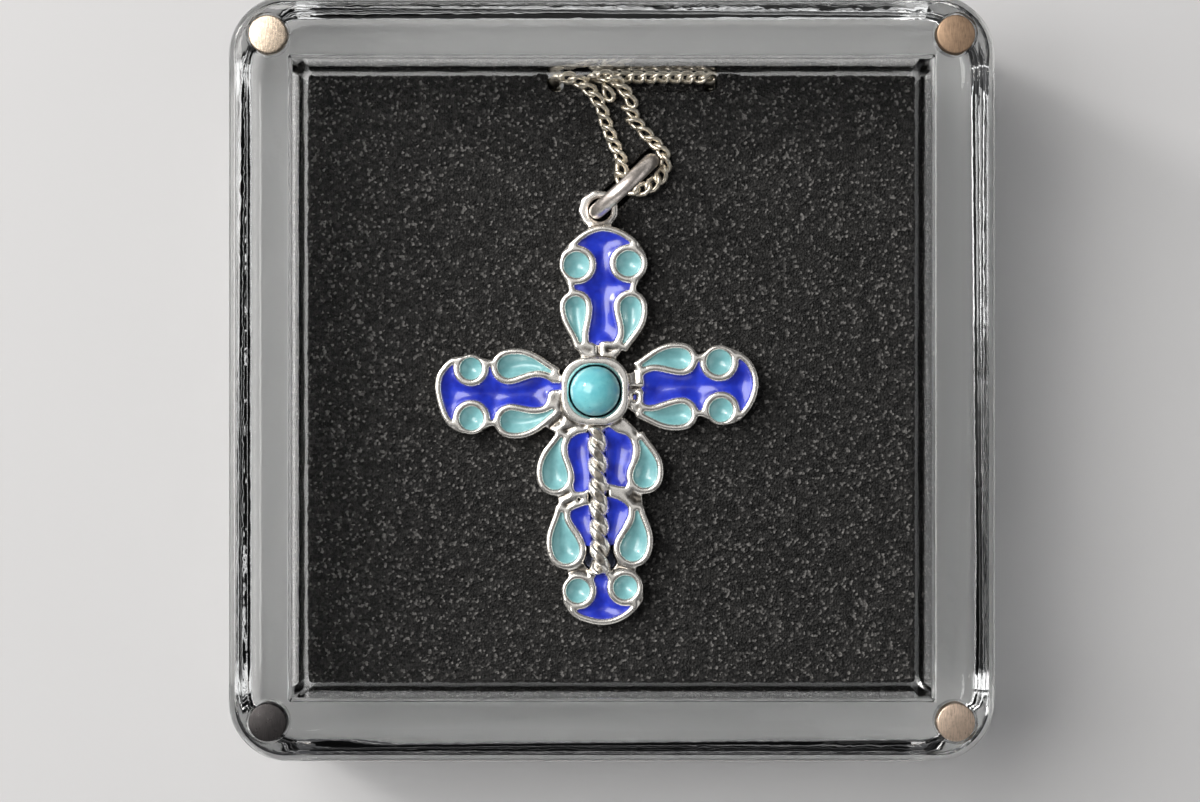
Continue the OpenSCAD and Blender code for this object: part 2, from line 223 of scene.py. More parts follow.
def blend_colours(tree, factor, first, second):
    """Mixes two colours, each given as numbers or as another node's output."""
    made = node(tree, "Mix", data_type="RGBA")
    tree.links.new(factor, made.inputs["Factor"])
    for socket, colour in zip((made.inputs[6], made.inputs[7]), (first, second)):
        if isinstance(colour, bpy.types.NodeSocket):
            tree.links.new(colour, socket)
        else:
            socket.default_value = (*colour, 1)
    return made.outputs[2]


def calculate(tree, operation, first, second):
    made = node(tree, "Math", operation=operation)
    for socket, value in zip(made.inputs, (first, second)):
        if isinstance(value, bpy.types.NodeSocket):
            tree.links.new(value, socket)
        else:
            socket.default_value = value
    return made.outputs["Value"]


def bump(tree, shader, height, depth):
    """Raises the surface by a height from 0 to 1, where 1 stands for the depth in millimetres."""
    made = node(tree, "Bump")
    made.inputs["Strength"].default_value = 1
    made.inputs["Distance"].default_value = depth * MM
    tree.links.new(height, made.inputs["Height"])
    tree.links.new(made.outputs["Normal"], shader.inputs["Normal"])


# %% [markdown]
# ## The silver frame
# Plate, cell wires, bezel, eye and twisted wire are soldered together, so they are one piece. The
# measured part has the right outline but sharp edges. A voxel remesh turns it into an even skin of
# small squares, and smoothing that skin rounds every wire and leaves a fillet where solder ran.
# The twisted wire is made again from two round strands first, because its measured form is coarse.

# %% Twisted wire
CROSS = Vector((-1.32, -0.98, 9.6))
ROPE_FROM = Vector((0.16, -2.95, 1.3))
ROPE_TO = Vector((0.42, -14.7, 1.3))
STRAND_D, STRAND_SIDES = 0.83, 24
# Each strand reaches this far past the middle of the wire, so that the remesh joins the two
STRAND_OVERLAP = 0.01
TWIST_PITCH = 3.35
TWIST_START = math.radians(35)
ROPE_STEPS = 108


def strand(side):
    """One strand: a disc, wider by the strand's slant, extruded and turned in small steps."""
    length = (ROPE_TO - ROPE_FROM).length
    step = length / ROPE_STEPS
    turn = math.tau * step / TWIST_PITCH
    out = STRAND_D / 2 - STRAND_OVERLAP
    slant = math.hypot(1, math.tau * out / TWIST_PITCH)
    bpy.ops.mesh.primitive_circle_add(vertices=STRAND_SIDES, radius=STRAND_D / 2, fill_type="NGON")
    bpy.ops.object.mode_set(mode="EDIT")
    bpy.ops.transform.resize(value=(1, slant, 1), center_override=(0, 0, 0))
    bpy.ops.transform.translate(value=(side * out, 0, 0))
    bpy.ops.transform.rotate(value=TWIST_START, orient_axis="Z", center_override=(0, 0, 0))
    for _ in range(ROPE_STEPS):
        bpy.ops.mesh.extrude_region_move(TRANSFORM_OT_translate={"value": (0, 0, step)})
        bpy.ops.transform.rotate(value=turn, orient_axis="Z", center_override=(0, 0, 0))
    bpy.ops.mesh.select_all(action="SELECT")
    bpy.ops.mesh.normals_make_consistent(inside=False)
    close_edit()
    return bpy.context.object


def twisted_wire():
    first, second = strand(-1), strand(1)
    join(first, [second])
    way = ROPE_TO - ROPE_FROM
    turn = way.to_track_quat("Z", "Y").to_matrix().to_4x4()
    first.data.transform(Matrix.Translation(CROSS + ROPE_FROM) @ turn)
    return first


rope = twisted_wire()
print("strand points:", len(rope.data.vertices))

# %% [markdown]
# The eye is a short length of flattened wire, so its outside is a rough many-sided band, and it is
# wider on the left. A cylinder of nine sides has that outline, and a second one cuts the hole. The
# bezel's edge is pressed in over the ball, so a torus adds a round edge to the square opening.

# %% Eye and edge of the bezel
EYE_AT, EYE_HOLE_R = Vector((0.39, 14.67, 0.75)), 0.98
BAND_SIDES, BAND_R, BAND_T = 9, 1.6, 0.52
BAND_SHIFT, BAND_TURN = Vector((-0.14, -0.02, 0)), 0.25
BEZEL_EDGE_R, BEZEL_EDGE_WIRE, BEZEL_EDGE_Z = 2.35, 0.2, 1.74


def eye_band():
    bpy.ops.mesh.primitive_cylinder_add(
        vertices=BAND_SIDES, radius=BAND_R, depth=BAND_T, location=CROSS + EYE_AT + BAND_SHIFT,
        rotation=(0, 0, BAND_TURN),
    )
    band = place(bpy.context.object)
    bpy.ops.mesh.primitive_cylinder_add(
        vertices=32, radius=EYE_HOLE_R, depth=2, location=CROSS + EYE_AT
    )
    hole = place(bpy.context.object)
    modify(band, "BOOLEAN", object=hole, operation="DIFFERENCE", solver="EXACT")
    bpy.data.objects.remove(hole)
    return band


def bezel_edge():
    bpy.ops.mesh.primitive_torus_add(
        major_radius=BEZEL_EDGE_R, minor_radius=BEZEL_EDGE_WIRE, major_segments=72, minor_segments=16,
        location=CROSS + Vector((0, 0, BEZEL_EDGE_Z)),
    )
    return place(bpy.context.object)


# %% [markdown]
# Where the enamel ends is where a wire begins. The outlines of all the fills are gathered once: the
# frame uses them to draw its wires up to a ridge, and the fills use them to dish their tops.

# %% Outlines of the fills
FILL_TOP = 1.15
FLAT_TOP = CROSS.z + FILL_TOP
POINT_STEP = 0.04
# A face is part of the flat top if it faces up at least this much and lies this near to its height
TOP_FACES_UP, TOP_NEAR = 0.9, 0.05


def top_edge_points(obj):
    """Points along the outline of a block's flat top, close together."""
    edit(obj, lambda middle, normal: normal.z > TOP_FACES_UP and middle.z > FLAT_TOP - TOP_NEAR)
    bpy.ops.mesh.region_to_loop()
    close_edit()
    points = []
    for edge in obj.data.edges:
        if edge.select:
            a, b = (obj.data.vertices[i].co for i in edge.vertices)
            count = max(1, int((b - a).length / POINT_STEP))
            points += [a.lerp(b, n / count) for n in range(count)]
    return points


def finder(points):
    """A tree that finds the nearest of many points quickly."""
    tree = kdtree.KDTree(len(points))
    for n, point in enumerate(points):
        tree.insert(point, n)
    tree.balance()
    return tree


# Blue that ran out of its cell: the cell, lowest x and y, highest x and y
RUNS = [
    ("enamel_field_top", 0.2, 2.95, 0.36, 3.8),
    ("enamel_field_right", 3.1, -0.75, 3.32, -0.2),
]
RUN_FOOT = 0.6


def with_runs(name):
    """A fill's block, with the drops of glass that ran out of its cell."""
    obj = measured_copy(name, name.replace("enamel", "glass"))
    drops = []
    for cell, x0, y0, x1, y1 in RUNS:
        if cell == name:
            low, high = CROSS + Vector((x0, y0, RUN_FOOT)), CROSS + Vector((x1, y1, FILL_TOP))
            bpy.ops.mesh.primitive_cube_add(size=1, location=(low + high) / 2, scale=high - low)
            drops.append(place(bpy.context.object))
    if drops:
        join(obj, drops)
    return obj


BLOCKS, OUTLINES = {}, {}
for name in sorted(NODES):
    if name.startswith("enamel_"):
        BLOCKS[name] = with_runs(name)
        OUTLINES[name] = top_edge_points(BLOCKS[name])
all_outlines = finder([point for points in OUTLINES.values() for point in points])
print("fills:", len(BLOCKS))

# %% [markdown]
# A wire between two fills is highest in its middle, about a quarter of a millimetre from the glass.
# Where the wires of an arm come together their ends hook round and run on over the solder, which
# lies lower and a little uneven. These ends are drawn as short routes across the plate.

# %% Ends of the wires
WIRE_ENDS = [
    # Top arm: two hooks, and the two rims that meet below them
    [(-1.0, 4.9), (-1.07, 4.06), (-0.85, 3.66), (-0.36, 3.56), (0.0, 3.72)],
    [(1.95, 5.05), (1.95, 4.2), (1.6, 3.7), (0.95, 3.74), (0.56, 3.56)],
    [(-2.2, 4.9), (-1.63, 3.78), (-1.0, 3.1), (0.02, 2.9)],
    [(3.0, 3.93), (2.02, 3.16), (0.55, 2.93)],
    # Left arm
    [(-4.83, 1.24), (-3.99, 1.31), (-3.67, 0.98), (-3.44, 0.8), (-2.9, 0.84)],
    [(-3.5, 2.0), (-3.09, 1.63), (-2.74, 1.24), (-2.72, 0.8)],
    [(-4.18, -1.39), (-3.73, -1.07), (-3.54, -0.56), (-3.57, -0.14)],
    [(-4.05, -2.49), (-3.35, -1.65), (-3.06, -0.88), (-2.96, -0.1)],
    # Right arm
    [(3.6, 2.58), (3.04, 2.01), (2.88, 1.29), (2.95, 0.55)],
    [(4.64, 2.17), (3.96, 1.97), (3.64, 1.45), (3.6, 0.85), (3.8, 0.5)],
    [(3.8, 0.06), (3.7, -0.48), (3.8, -1.08), (4.32, -1.48)],
    [(3.08, -1.2), (3.2, -1.85), (3.68, -2.29)],
    # Shoulders of the lower arm
    [(-3.6, -3.65), (-2.9, -3.0), (-2.06, -2.66), (-1.35, -2.6)],
    [(-2.38, -3.71), (-1.8, -3.29), (-1.22, -3.1), (-0.81, -3.2)],
    [(2.24, -2.45), (3.04, -2.72), (3.84, -3.29)],
    [(1.73, -2.93), (2.4, -2.93), (2.92, -3.37), (3.12, -4.02)],
    # Waist of the lower arm
    [(-2.96, -9.41), (-2.67, -8.93), (-1.8, -8.54), (-1.13, -8.35), (-0.65, -8.2)],
    [(-1.71, -9.31), (-1.42, -8.98), (-0.6, -8.78)],
    [(1.38, -7.62), (2.06, -7.87), (2.73, -8.11)],
    [(1.3, -8.16), (1.96, -8.3), (2.54, -8.73), (3.12, -9.41)],
]


def smooth_line(points, parts):
    """A smooth line through the points, as parts short steps from each point to the next."""
    line = []
    last = len(points) - 1
    for n in range(last):
        before, start = points[max(n - 1, 0)], points[n]
        end, after = points[n + 1], points[min(n + 2, last)]
        reach = (end - start).length
        leave = (end - before).normalized() * reach
        arrive = (after - start).normalized() * reach
        for k in range(parts):
            t = k / parts
            line.append(
                (2 * t**3 - 3 * t**2 + 1) * start + (t**3 - 2 * t**2 + t) * leave
                + (3 * t**2 - 2 * t**3) * end + (t**3 - t**2) * arrive
            )
    return line + [points[last]]


END_PARTS = 20
end_lines = [smooth_line([Vector((x, y, 0)) for x, y in ends], END_PARTS) for ends in WIRE_ENDS]
wire_ends = finder([point for line in end_lines for point in line])
print("ends of wires:", len(WIRE_ENDS))

# %% [markdown]
# The height of each point of the skin is then set. On a wire it falls off from the ridge to both
# sides, beyond the wires it is the solder's, and a few places are lower: where blue ran out of its
# cell, and in a crack between two wires. The twisted wire is worn flat on top instead.

# %% Heights of the skin
WIRE_TOP, SOLDER_TOP = CROSS.z + 1.54, CROSS.z + 1.22
WIRE_HALF = 0.27
# How fast a wire's top falls from its ridge, and where the solder beside it takes over
WIRE_FALL, RIDGE_HALF, RIDGE_FADE = 1.4, 0.24, 0.14
# The solder is uneven: waves to a millimetre, and how high they are
SOLDER_WAVES, SOLDER_UNEVEN = 0.9, 0.07
GLASS_RUN_FLOOR = CROSS.z + 0.9
# Thin crack between the ends of two wires: lowest and highest x, middle y, half width, floor
CRACK = (2.9, 3.86, 0.26, 0.06, CROSS.z + 0.8)
BEZEL_HALF = 2.7
EYE_FROM = CROSS.y + 13.2
# How far the twisted wire reaches to each side, and the height above which the skin is shaped
ROPE_REACH, SHAPED_FROM = 0.9, 0.9


def rope_distance(point):
    """Distance from the twisted wire's middle line, seen from above."""
    start, way = (CROSS + ROPE_FROM).xy, (ROPE_TO - ROPE_FROM).xy
    along = max(0, min(1, (point.xy - start).dot(way) / way.dot(way)))
    return (point.xy - start - way * along).length


def skin_height(point):
    """The height of the metal's top at a place, from how far the nearest fill or wire end is."""
    at = point - CROSS
    if any(x0 < at.x < x1 and y0 < at.y < y1 for _, x0, y0, x1, y1 in RUNS):
        return GLASS_RUN_FLOOR
    if CRACK[0] < at.x < CRACK[1] and abs(at.y - CRACK[2]) < CRACK[3]:
        return CRACK[4]
    away = all_outlines.find(Vector((point.x, point.y, FLAT_TOP)))[2]
    off_ridge = min(abs(away - WIRE_HALF), wire_ends.find(Vector((at.x, at.y, 0)))[2])
    ridge = WIRE_TOP - WIRE_FALL * off_ridge**2
    solder = SOLDER_TOP + noise_at(point * SOLDER_WAVES) * SOLDER_UNEVEN
    share = max(0, min(1, (off_ridge - RIDGE_HALF) / RIDGE_FADE))
    return ridge * (1 - share) + solder * share


def is_wire(point):
    """True for the skin of cell wires and solder, apart from bezel, eye and twisted wire."""
    at = point - CROSS
    if max(abs(at.x), abs(at.y)) < BEZEL_HALF or point.y > EYE_FROM:
        return False
    return rope_distance(point) > ROPE_REACH and at.z > SHAPED_FROM


# %% Melt the frame into one skin
FRAME_VOXEL = 0.07
MOST_TRIANGLES = 190000
WIRE_SWELL = 0.04
WIRE_EASE, ROPE_EASE = 0.12, 0.06
# The twisted wire is worn down to this height, apart from this share of what stood above it
ROPE_WORN_TO, ROPE_KEEPS = CROSS.z + 2.02, 0.2


def silver_frame():
    obj = measured_copy("cross_frame", "silver_frame")
    join(obj, [rope, eye_band(), bezel_edge()])
    modify(obj, "REMESH", mode="VOXEL", voxel_size=FRAME_VOXEL, use_smooth_shade=True)
    for vertex in obj.data.vertices:
        if is_wire(vertex.co):
            vertex.co.z = min(vertex.co.z, skin_height(vertex.co))
        elif vertex.co.z > ROPE_WORN_TO and rope_distance(vertex.co) < ROPE_REACH:
            vertex.co.z = ROPE_WORN_TO + (vertex.co.z - ROPE_WORN_TO) * ROPE_KEEPS
    ease(obj, lambda p: True, ROPE_EASE, FRAME_VOXEL)
    ease(
        obj, lambda p: rope_distance(p) > ROPE_REACH or p.z < CROSS.z + SHAPED_FROM, WIRE_EASE, FRAME_VOXEL
    )
    modify(obj, "DISPLACE", strength=WIRE_SWELL, mid_level=0)
    triangles = 2 * len(obj.data.polygons)
    print("frame triangles before thinning:", triangles)
    if triangles > MOST_TRIANGLES:
        modify(obj, "DECIMATE", ratio=MOST_TRIANGLES / triangles)
    bpy.ops.object.shade_smooth()
    return obj


metal = silver_frame()
print("frame faces:", len(metal.data.polygons))

# %% [markdown]
# Worn silver is bright on the ridges that fingers rub and grey or brown in the corners. A smoothed
# copy tells ridge from corner: where the copy lies above the skin there is a hollow. The depth is
# kept at each point of the mesh for the finish to read, and noise breaks the border up.

# %% Ridges and hollows
HOLLOW_REACH = 0.14
# Skin that faces up from this slant on, and lies this far below the wires' tops, is solder. It is
# rubbed less, so it counts as a hollow by this share of its depth.
FACES_UP, SOLDER_BELOW, LOW_TARNISH = 0.4, 0.12, 0.16
# Painted shade: the flat tops of the twisted wire's turns are darkened as if they lay this much deeper
ROPE_TOP_PAINTED_SHADE, FLAT_FROM, FLAT_REACH = 0.045, 0.93, 0.75


def mark_hollows(obj, length, square):
    """Stores how deep each point lies below its smoothed surroundings, in millimetres, with extra depth
    for low solder and, as painted shade, for the twisted wire's flat tops.
    """
    only(obj)
    bpy.ops.object.duplicate()
    eased = bpy.context.object
    ease(eased, lambda p: True, length, square)
    depth = obj.data.attributes.new("hollow", "FLOAT", "POINT")
    for vertex, moved in zip(obj.data.vertices, eased.data.vertices):
        here, up = vertex.co, vertex.normal.z
        low = 0
        if up > FACES_UP and here.y < EYE_FROM:
            low = max(0, WIRE_TOP - SOLDER_BELOW - here.z) * LOW_TARNISH
        # Painted shade: the flat tops of the twisted wire's turns count as deeper, so the finish darkens
        # them
        if up > FLAT_FROM and rope_distance(here) < FLAT_REACH and here.z > WIRE_TOP:
            low += ROPE_TOP_PAINTED_SHADE
        depth.data[vertex.index].value = (moved.co - here).dot(vertex.normal) + low
    depths = sorted(entry.value for entry in depth.data)
    twentieth = len(depths) // 20
    print("hollows from", round(depths[twentieth], 3), "to", round(depths[-twentieth], 3))
    bpy.data.objects.remove(eased)


mark_hollows(metal, HOLLOW_REACH, FRAME_VOXEL)

# %% Worn silver, with painted shade on the twisted wire's tops
HOLLOW_DEPTH = 0.036
CLEAN_SILVER, BLACK_CORNER = (0.94, 0.905, 0.85), (0.04, 0.045, 0.07)
DARK_TARNISH, PALE_TARNISH = (0.17, 0.153, 0.135), (0.46, 0.41, 0.345)


def worn_silver():
    material, tree, shader = new_material("worn_silver_and_painted_shade_finish")
    set_shader(shader, Metallic=0.93)
    place_mm = millimetres(tree)
    # The hollow depth holds tarnish, and also painted shade on the twisted wire's flat tops
    hollow = node(tree, "Attribute", attribute_name="hollow")
    deep = calculate(tree, "MULTIPLY", hollow.outputs["Fac"], 1 / HOLLOW_DEPTH)
    patches = noise(tree, place_mm, scale=1.1, detail=4, roughness=0.6)
    clean = spread(tree, calculate(tree, "ADD", deep, patches), 0.25, 1.1, 1, 0)
    grain = noise(tree, place_mm, scale=2, detail=3, roughness=0.6)
    dull = blend_colours(tree, spread(tree, grain, 0.38, 0.62), DARK_TARNISH, PALE_TARNISH)
    colour = blend_colours(tree, clean, dull, CLEAN_SILVER)
    blackened = blend_colours(tree, spread(tree, deep, 1.8, 3.2), colour, BLACK_CORNER)
    tree.links.new(blackened, shader.inputs["Base Color"])
    tree.links.new(spread(tree, grain, 0.3, 0.7, 0.2, 0.31), shader.inputs["Roughness"])
    bump(tree, shader, grain, 0.0025)
    return material


hand_over(metal, "soldered_frame", worn_silver(), "worn_silver", "cross_frame")

# %% [markdown]
# ## The enamel
# Ground glass is melted in the cells and shrinks as it cools, so it climbs the wires and sags in the
# middle. Each fill starts from its measured block, gets an even skin, and its top is then pulled
# down by how far a point is from the nearest wire. That makes the bowl that catches the light.

# %% Dished fills
ENAMEL_VOXEL = 0.07
MEET_WIRE = 0.05
EDGE_RISE = 0.1
BOWL_DEPTH = {"round": 0.66, "drop": 0.66, "field": 0.72}
BOWL_REACH = {"round": 1.15, "drop": 1.15, "field": 1.9}
EASING = {"round": 0.2, "drop": 0.2, "field": 0.38}
# The dishing fades out down to this depth below the flat top. Down to the eased depth, and this far
# in from the wires, the skin is smoothed.
DISHED_TO, EASED_TO, EASED_FROM_EDGE = 0.3, 0.6, 0.12
# Blue that lies nearer to the twisted wire's line than this is moved this far towards it. The line's
# middle is about this far to the right of its start.
RUN_IN_FROM, RUN_IN, ROPE_MIDDLE = 0.95, 0.2, 0.1


def toward_rope(obj):
    """Lets the blue beside the twisted wire run in between its turns."""
    for vertex in obj.data.vertices:
        if rope_distance(vertex.co) < RUN_IN_FROM:
            side = -1 if vertex.co.x > (CROSS + ROPE_FROM).x + ROPE_MIDDLE else 1
            vertex.co.x += side * RUN_IN


def dished(name):
    obj = BLOCKS[name]
    kind = name.split("_")[1]
    if "shaft" in name and kind == "field":
        toward_rope(obj)
        OUTLINES[name] = top_edge_points(obj)
    tree = finder(OUTLINES[name])

    def from_edge(point):
        return tree.find(Vector((point.x, point.y, FLAT_TOP)))[2]

    modify(obj, "REMESH", mode="VOXEL", voxel_size=ENAMEL_VOXEL, use_smooth_shade=True)
    modify(obj, "DISPLACE", strength=MEET_WIRE, mid_level=0)
    for vertex in obj.data.vertices:
        if vertex.co.z > FLAT_TOP - DISHED_TO:
            hollow = 1 - max(0, 1 - from_edge(vertex.co) / BOWL_REACH[kind]) ** 2
            share = min(1, (vertex.co.z - FLAT_TOP + DISHED_TO) / DISHED_TO)
            vertex.co.z += share * (EDGE_RISE - BOWL_DEPTH[kind] * hollow)
    ease(
        obj, lambda p: p.z > FLAT_TOP - EASED_TO and from_edge(p) > EASED_FROM_EDGE,
        EASING[kind], ENAMEL_VOXEL,
    )
    bpy.ops.object.shade_smooth()
    return obj


# %% [markdown]
# Turquoise enamel is opaque: its colour is even, a little lighter in patches. Blue enamel lets some
# of the silver below shine through, so its colour drifts more. A clear coat stands for the skin that
# the firing leaves.

# %% Enamel finishes
def enamel(name, deep, light, coat_roughness):
    material, tree, shader = new_material(name)
    place_mm = millimetres(tree)
    clouds = noise(tree, place_mm, scale=0.8, detail=4, roughness=0.6)
    colour = blend_colours(tree, spread(tree, clouds, 0.35, 0.65), deep, light)
    tree.links.new(colour, shader.inputs["Base Color"])
    set_shader(shader, Roughness=0.38, Coat_Weight=0.85, Coat_Roughness=coat_roughness, Coat_IOR=1.5)
    ripples = noise(tree, place_mm, scale=1.4)
    bump(tree, shader, ripples, 0.014)
    return material


turquoise = enamel(
    "turquoise_enamel_finish", deep=(0.175, 0.43, 0.46), light=(0.265, 0.57, 0.6), coat_roughness=0.17
)
cobalt = enamel(
    "cobalt_enamel_finish", deep=(0.006, 0.017, 0.39), light=(0.016, 0.046, 0.66), coat_roughness=0.14
)
for name in BLOCKS:
    blue = "field" in name
    slot = "cobalt_enamel" if blue else "turquoise_enamel"
    finish = cobalt if blue else turquoise
    hand_over(dished(name), name.replace("enamel", "glass"), finish, slot, name)

# %% [markdown]
# ## The turquoise ball
# A real turquoise is never quite even: it is mottled, with paler clouds and a few pits. The ball is a
# round primitive whose skin is moved a little by a noise texture, cut flat below the bezel.

# %% Ball
BALL_R = 2.0
BALL_AT = CROSS + Vector((0, 0, 1.9))
BALL_CUT = CROSS + Vector((0, 0, 0.53))
SKIN_GRAIN, SKIN_DEPTH = 0.9, 0.04
DEEP_STONE, PALE_STONE, STONE_PIT = (0.13, 0.55, 0.63), (0.25, 0.71, 0.76), (0.1, 0.36, 0.38)


def clouded(obj, name, grain, depth, level=0.5, layers=2):
    """Moves a skin in and out by a cloud texture, whose grains have one size and depth."""
    texture = bpy.data.textures.new(name, "CLOUDS")
    texture.noise_scale = grain
    texture.noise_depth = layers
    modify(obj, "DISPLACE", texture=texture, strength=depth, mid_level=level, texture_coords="LOCAL")


def stone_ball():
    bpy.ops.mesh.primitive_uv_sphere_add(segments=96, ring_count=64, radius=BALL_R)
    obj = bpy.context.object
    clouded(obj, "stone_skin", SKIN_GRAIN, SKIN_DEPTH)
    obj.data.transform(Matrix.Translation(BALL_AT))
    edit(obj)
    bpy.ops.mesh.bisect(plane_co=BALL_CUT, plane_no=(0, 0, 1), clear_inner=True, use_fill=True)
    close_edit()
    bpy.ops.object.shade_smooth_by_angle(angle=math.radians(40))
    return obj


def stone_finish():
    material, tree, shader = new_material("turquoise_stone_finish")
    place_mm = millimetres(tree)
    mottle = noise(tree, place_mm, scale=0.75, detail=6, roughness=0.62, distortion=0.3)
    specks = noise(tree, place_mm, scale=5)
    colour = blend_colours(tree, spread(tree, mottle, 0.36, 0.7), DEEP_STONE, PALE_STONE)
    marked = blend_colours(tree, spread(tree, specks, 0.68, 0.78), colour, STONE_PIT)
    tree.links.new(marked, shader.inputs["Base Color"])
    set_shader(shader, Roughness=0.36, Coat_Weight=0.85, Coat_Roughness=0.11)
    bump(tree, shader, specks, 0.01)
    return material


hand_over(stone_ball(), "stone_ball", stone_finish(), "turquoise_stone", "stone")

# %% [markdown]
# ## The jump ring
# A length of round wire bent until its ends meet. A torus primitive has the form. A thin cut leaves
# the joint that every open ring has, here on the side that lies in the foam, and a cloud texture
# moves the skin a little, because pliers and wear leave shallow dents.

# %% Jump ring
JUMP_AT = Vector((0.995, 15.531, 11.15))
JUMP_R, JUMP_WIRE = 3.0, 1.2
JUMP_LEAN, JUMP_TURN = math.radians(94), math.radians(42.7)
JOINT_ANGLE, JOINT_GAP = math.radians(-75), 0.04
DENT_GRAIN, DENT_DEPTH = 0.8, 0.04


def jump_ring():
    bpy.ops.mesh.primitive_torus_add(
        major_radius=JUMP_R, minor_radius=JUMP_WIRE / 2, major_segments=96, minor_segments=28
    )
    obj = bpy.context.object
    bpy.ops.mesh.primitive_cube_add(
        size=1, location=(JUMP_R * math.cos(JOINT_ANGLE), JUMP_R * math.sin(JOINT_ANGLE), 0),
        rotation=(0, 0, JOINT_ANGLE), scale=(2 * JUMP_WIRE, JOINT_GAP, 2 * JUMP_WIRE),
    )
    blade = place(bpy.context.object)
    modify(obj, "BOOLEAN", object=blade, operation="DIFFERENCE", solver="EXACT")
    bpy.data.objects.remove(blade)
    clouded(obj, "wire_dents", DENT_GRAIN, DENT_DEPTH)
    turn = Euler((JUMP_LEAN, 0, JUMP_TURN)).to_matrix().to_4x4()
    obj.data.transform(Matrix.Translation(JUMP_AT) @ turn)
    bpy.ops.object.shade_smooth_by_angle(angle=math.radians(40))
    return obj


def bright_silver(name, colour, wear_scale, rough):
    """Polished silver, darker and rougher where fine wear has dulled it."""
    material, tree, shader = new_material(name)
    wear = noise(tree, millimetres(tree), wear_scale, detail=5, roughness=0.65)
    dull = tuple(c * 0.62 for c in colour)
    worn = blend_colours(tree, spread(tree, wear, 0.35, 0.6), dull, colour)
    tree.links.new(worn, shader.inputs["Base Color"])
    set_shader(shader, Metallic=0.91)
    tree.links.new(spread(tree, wear, 0.3, 0.7, rough * 1.4, rough), shader.inputs["Roughness"])
    bump(tree, shader, wear, 0.006)
    return material


ring_silver = bright_silver("ring_silver_finish", (1.0, 0.91, 0.84), wear_scale=3, rough=0.3)
chain_silver = bright_silver("chain_silver_finish", (1.0, 0.92, 0.77), wear_scale=6, rough=0.28)
hand_over(jump_ring(), "jump_ring_wire", ring_silver, "ring_silver", "jump_ring")

# %% [markdown]
# ## The chain
# A curb chain: every link is an oval that is twisted a quarter turn, which lets all links lie flat in
# one row. One link is modelled, and copies are set along the measured route, each pointing the
# way the route runs there. Twelve steps round and six sides to the wire are enough at this size.

# %% Route of the chain
FLOOR_Z, TOP_Z = 2.55, 10.0
HIDDEN_START = [
    (-4.1, -18.4, FLOOR_Z), (-18, -18.4, FLOOR_Z), (-20.8, -17.6, FLOOR_Z), (-21.6, -15, FLOOR_Z),
    (-21.6, 18, FLOOR_Z), (-18, 21.2, FLOOR_Z), (-7, 21.2, FLOOR_Z),
]
RISE = [(-5.2, 22, 2.75), (-4.6, 23.8, 3.6), (-4.6, 24.4, 5.2), (-4.6, 24.4, 8), (-4.5, 24.4, 9.2)]
SHOWN = [
    (-4, 24.4, 9.9), (-3, 24.25, TOP_Z), (-2.1, 23.7, TOP_Z), (-1.3, 22.8, TOP_Z),
    (-0.8, 21.8, TOP_Z), (-0.5, 20.8, TOP_Z), (0.1, 19.2, TOP_Z), (0.7, 17.9, TOP_Z),
    (0.8, 16.9, TOP_Z), (0.9, 16, TOP_Z), (1.6, 15.4, TOP_Z), (2.6, 15.4, TOP_Z),
    (3.7, 16.1, TOP_Z), (4.3, 17.2, TOP_Z), (4.1, 18.4, TOP_Z), (3.2, 19.4, TOP_Z),
    (2.4, 20.3, TOP_Z), (1.8, 21.4, TOP_Z), (1.5, 22.6, TOP_Z), (0.8, 23.6, TOP_Z),
    (0, 24.3, 10.2), (-0.7, 24.5, 10.4),
]
BY_THE_WALL = [
    (-1.3, 24.5, 10.3), (-1.5, 24.5, 9.8), (-1.1, 24.5, 9.3), (-0.2, 24.5, 9.2), (6.6, 24.5, 9.2),
    (7.8, 24.5, 8.8), (8.2, 24.5, 7.6), (8.2, 24.5, 5.2), (8.2, 23.8, 3.6),
]
HIDDEN_END = [(7.6, 21.6, 2.75), (5.5, 18.8, FLOOR_Z), (3.5, 17.8, FLOOR_Z)]
FOLD_X, FOLD_TOP, FOLD_STEP, FOLDS = 16.5, 17.8, 4.2, 7
HIDDEN_LAST = [
    (17.5, -11.6, FLOOR_Z), (20.3, -12.4, FLOOR_Z), (21.2, -15, FLOOR_Z), (20.3, -17.6, FLOOR_Z),
    (17.5, -18.4, FLOOR_Z), (4.1, -18.4, FLOOR_Z),
]


def folds():
    """The even folds that put the rest of the chain away under the foam."""
    points, radius = [], FOLD_STEP / 2
    for n in range(FOLDS):
        side = -1 if n % 2 == 0 else 1
        for angle in (90, 30, -30, -90):
            turn = math.radians(angle)
            x = side * (FOLD_X + radius * math.cos(turn))
            y = FOLD_TOP - n * FOLD_STEP - radius + radius * math.sin(turn)
            points.append((x, y, FLOOR_Z))
    return points


UP, OFF_THE_WALL = Vector((0, 0, 1)), Vector((0, -1, 0.15))


def route():
    """Points and the way that a link's flat side faces at each of them."""
    parts = [
        (HIDDEN_START, UP), (RISE, OFF_THE_WALL), (SHOWN, UP), (BY_THE_WALL, OFF_THE_WALL),
        (HIDDEN_END + folds() + HIDDEN_LAST, UP),
    ]
    return [(Vector(p), facing) for points, facing in parts for p in points]


ROUTE_PARTS = 24


